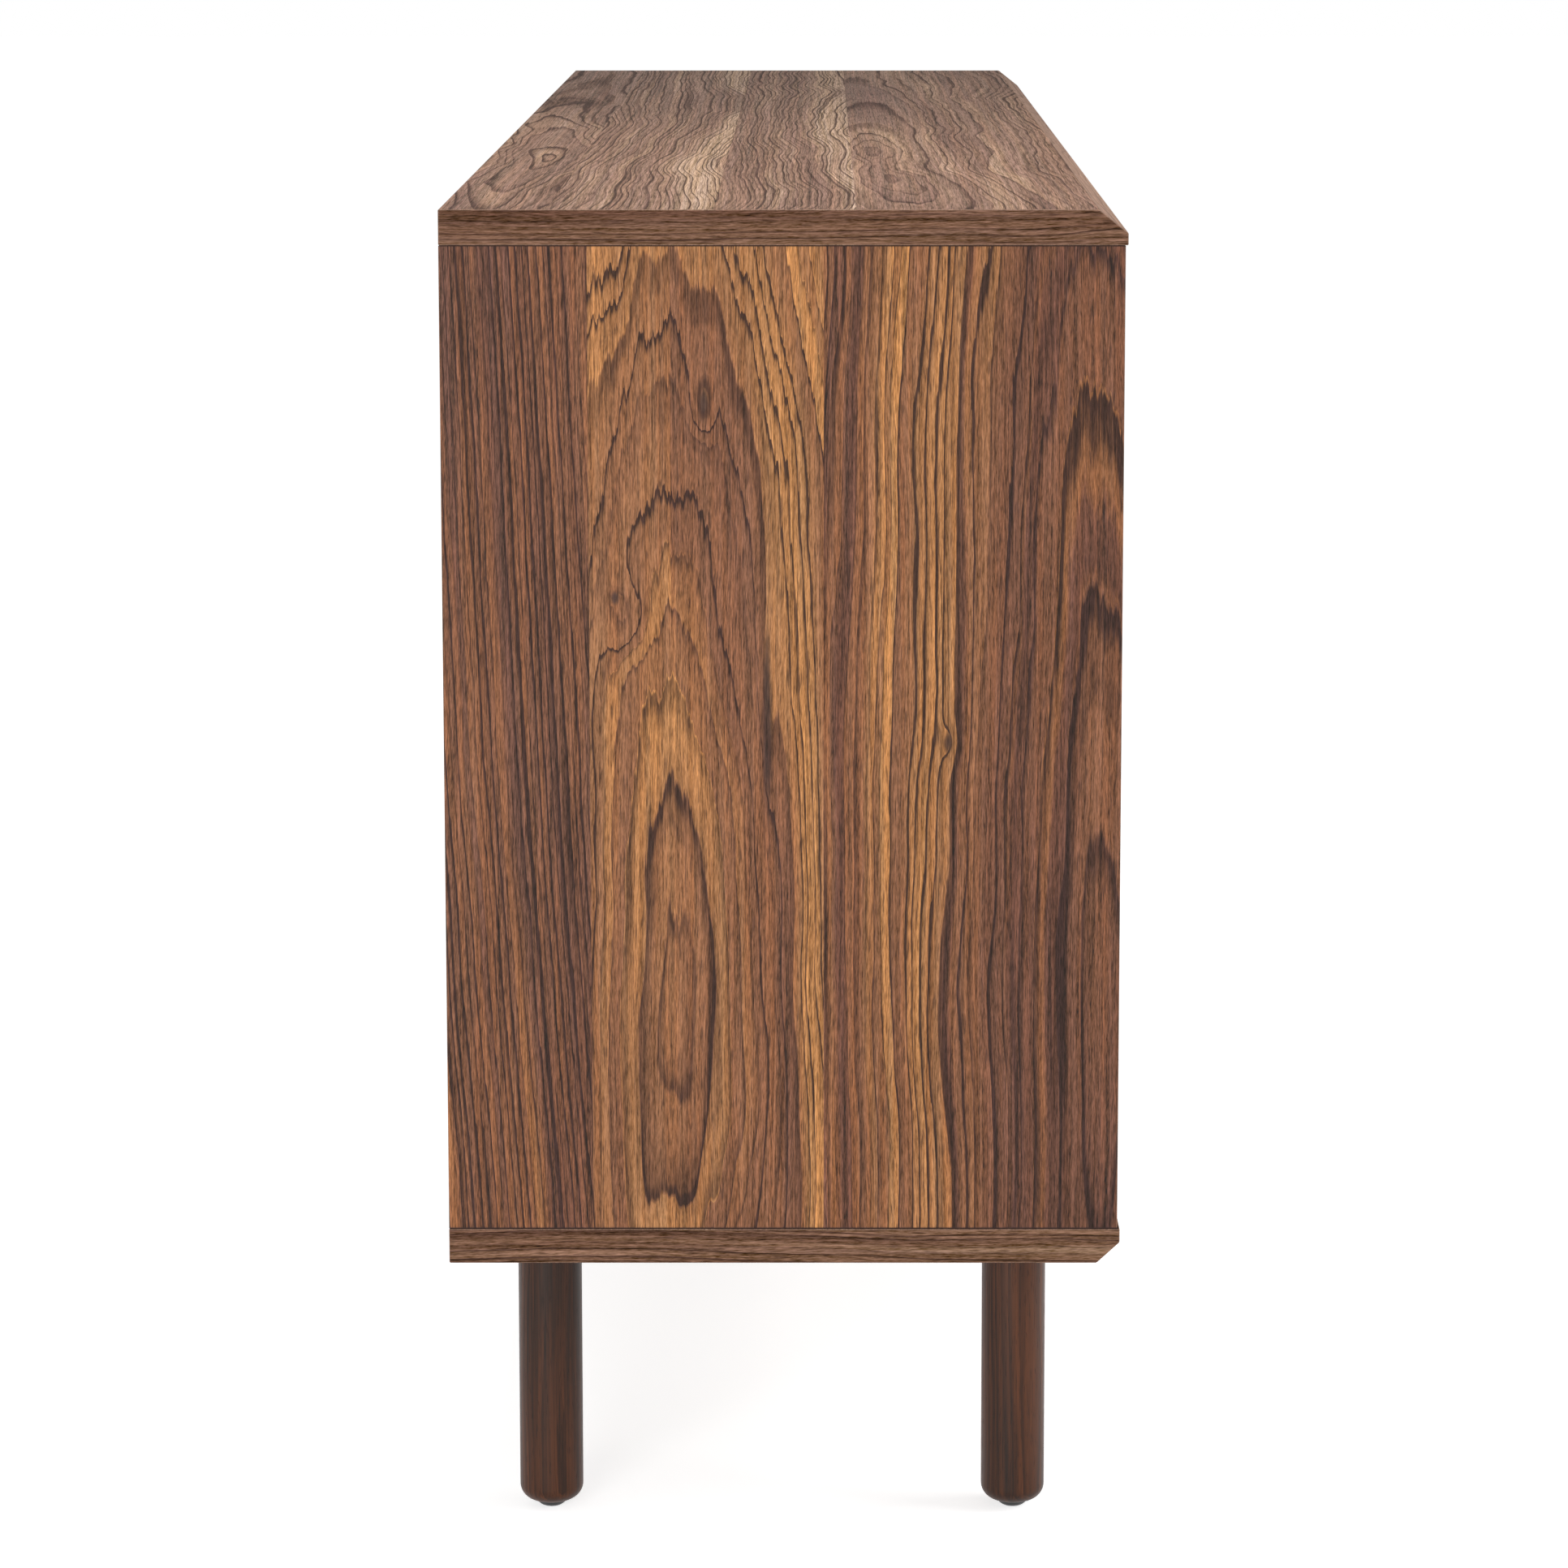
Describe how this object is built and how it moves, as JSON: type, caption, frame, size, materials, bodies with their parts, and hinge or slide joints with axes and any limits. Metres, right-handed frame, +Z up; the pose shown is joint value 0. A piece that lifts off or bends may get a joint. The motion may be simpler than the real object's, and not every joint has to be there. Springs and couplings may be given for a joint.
{
  "type": "sideboard buffet",
  "caption": "Long walnut-look sideboard buffet on round legs, with hinged doors either side of a bank of drawers, bevelled top and bottom edges and levelling feet.",
  "frame": {"origin": "on the floor, under the middle of the box that holds the closed sideboard and its knobs", "axes": "+X along the length towards the right end seen from the front, +Y from the front to the back, +Z up"},
  "size_m": [1.6, 0.4124, 0.787],
  "materials": {
    "walnut_panel": "satin printed walnut surface with open grain",
    "walnut_turned": "satin stained solid wood",
    "hardboard": "smooth fibreboard with a brown printed face",
    "drawer_board": "matt brown foiled board",
    "beech": "bare fluted dowel wood",
    "zinc_plated_steel": "bright zinc plate",
    "zinc_casting": "dull cast zinc",
    "black_plastic": "matt moulded plastic",
    "white_nylon": "satin moulded nylon"
  },
  "bodies": {
    "cabinet": {"top_panel": "walnut_panel", "bottom_panel": "walnut_panel", "left_end_panel": "walnut_panel", "right_end_panel": "walnut_panel", "left_divider": "walnut_panel", "right_divider": "walnut_panel", "back_panel": "hardboard", "left_shelf": "walnut_panel", "right_shelf": "walnut_panel", "shelf_pins": "zinc_plated_steel", "cam_locks": "zinc_casting", "cam_bolts": "zinc_casting", "dowels": "beech", "leg_plates": "zinc_plated_steel", "leg_plate_screws": "zinc_plated_steel", "leg_bolts": "zinc_plated_steel", "foot_inserts": "zinc_plated_steel", "door_pivot_pins": "zinc_plated_steel", "door_catches": "black_plastic", "drawer_slide_cabinet_rails": "zinc_plated_steel", "front_left_leg": "walnut_turned", "back_left_leg": "walnut_turned", "front_right_leg": "walnut_turned", "back_right_leg": "walnut_turned"},
    "left_door_leaf": {"left_door": "walnut_panel", "left_door_knob": "walnut_turned", "left_door_bushes": "white_nylon", "left_door_strike": "zinc_plated_steel"},
    "right_door_leaf": {"right_door": "walnut_panel", "right_door_knob": "walnut_turned", "right_door_bushes": "white_nylon", "right_door_strike": "zinc_plated_steel"},
    "bottom_drawer_box": {"bottom_drawer_front": "walnut_panel", "bottom_drawer_left_side": "drawer_board", "bottom_drawer_right_side": "drawer_board", "bottom_drawer_back": "drawer_board", "bottom_drawer_bottom": "hardboard", "bottom_drawer_knob": "walnut_turned", "bottom_drawer_rails": "zinc_plated_steel"},
    "bottom_drawer_middle_slides": {"bottom_drawer_middle_rails": "zinc_plated_steel"},
    "middle_drawer_box": {"middle_drawer_front": "walnut_panel", "middle_drawer_left_side": "drawer_board", "middle_drawer_right_side": "drawer_board", "middle_drawer_back": "drawer_board", "middle_drawer_bottom": "hardboard", "middle_drawer_knob": "walnut_turned", "middle_drawer_rails": "zinc_plated_steel"},
    "middle_drawer_middle_slides": {"middle_drawer_middle_rails": "zinc_plated_steel"},
    "top_drawer_box": {"top_drawer_front": "walnut_panel", "top_drawer_left_side": "drawer_board", "top_drawer_right_side": "drawer_board", "top_drawer_back": "drawer_board", "top_drawer_bottom": "hardboard", "top_drawer_knob": "walnut_turned", "top_drawer_rails": "zinc_plated_steel"},
    "top_drawer_middle_slides": {"top_drawer_middle_rails": "zinc_plated_steel"},
    "front_left_levelling_foot": {"front_left_foot": "black_plastic"},
    "back_left_levelling_foot": {"back_left_foot": "black_plastic"},
    "front_right_levelling_foot": {"front_right_foot": "black_plastic"},
    "back_right_levelling_foot": {"back_right_foot": "black_plastic"}
  },
  "joints": [
    {"name": "left_door_hinge", "type": "hinge", "parent": "cabinet", "child": "left_door_leaf", "pos_m": [-0.76351, -0.17625, 0.477], "axis": [0, 0, -1], "range_deg": [0, 110]},
    {"name": "right_door_hinge", "type": "hinge", "parent": "cabinet", "child": "right_door_leaf", "pos_m": [0.76351, -0.17625, 0.477], "axis": [0, 0, 1], "range_deg": [0, 110]},
    {"name": "bottom_drawer_slide", "type": "slide", "parent": "cabinet", "child": "bottom_drawer_box", "axis": [0, -1, 0], "range_m": [0, 0.3]},
    {"name": "bottom_drawer_middle_slide", "type": "slide", "parent": "cabinet", "child": "bottom_drawer_middle_slides", "axis": [0, -1, 0], "range_m": [0, 0.15]},
    {"name": "middle_drawer_slide", "type": "slide", "parent": "cabinet", "child": "middle_drawer_box", "axis": [0, -1, 0], "range_m": [0, 0.3]},
    {"name": "middle_drawer_middle_slide", "type": "slide", "parent": "cabinet", "child": "middle_drawer_middle_slides", "axis": [0, -1, 0], "range_m": [0, 0.15]},
    {"name": "top_drawer_slide", "type": "slide", "parent": "cabinet", "child": "top_drawer_box", "axis": [0, -1, 0], "range_m": [0, 0.3]},
    {"name": "top_drawer_middle_slide", "type": "slide", "parent": "cabinet", "child": "top_drawer_middle_slides", "axis": [0, -1, 0], "range_m": [0, 0.15]},
    {"name": "front_left_foot_screw", "type": "slide", "parent": "cabinet", "child": "front_left_levelling_foot", "axis": [0, 0, -1], "range_m": [0, 0.01]},
    {"name": "back_left_foot_screw", "type": "slide", "parent": "cabinet", "child": "back_left_levelling_foot", "axis": [0, 0, -1], "range_m": [0, 0.01]},
    {"name": "front_right_foot_screw", "type": "slide", "parent": "cabinet", "child": "front_right_levelling_foot", "axis": [0, 0, -1], "range_m": [0, 0.01]},
    {"name": "back_right_foot_screw", "type": "slide", "parent": "cabinet", "child": "back_right_levelling_foot", "axis": [0, 0, -1], "range_m": [0, 0.01]}
  ],
  "couplings": [
    {"joint": "bottom_drawer_middle_slide", "follows": "bottom_drawer_slide", "ratio": 0.5},
    {"joint": "middle_drawer_middle_slide", "follows": "middle_drawer_slide", "ratio": 0.5},
    {"joint": "top_drawer_middle_slide", "follows": "top_drawer_slide", "ratio": 0.5}
  ]
}
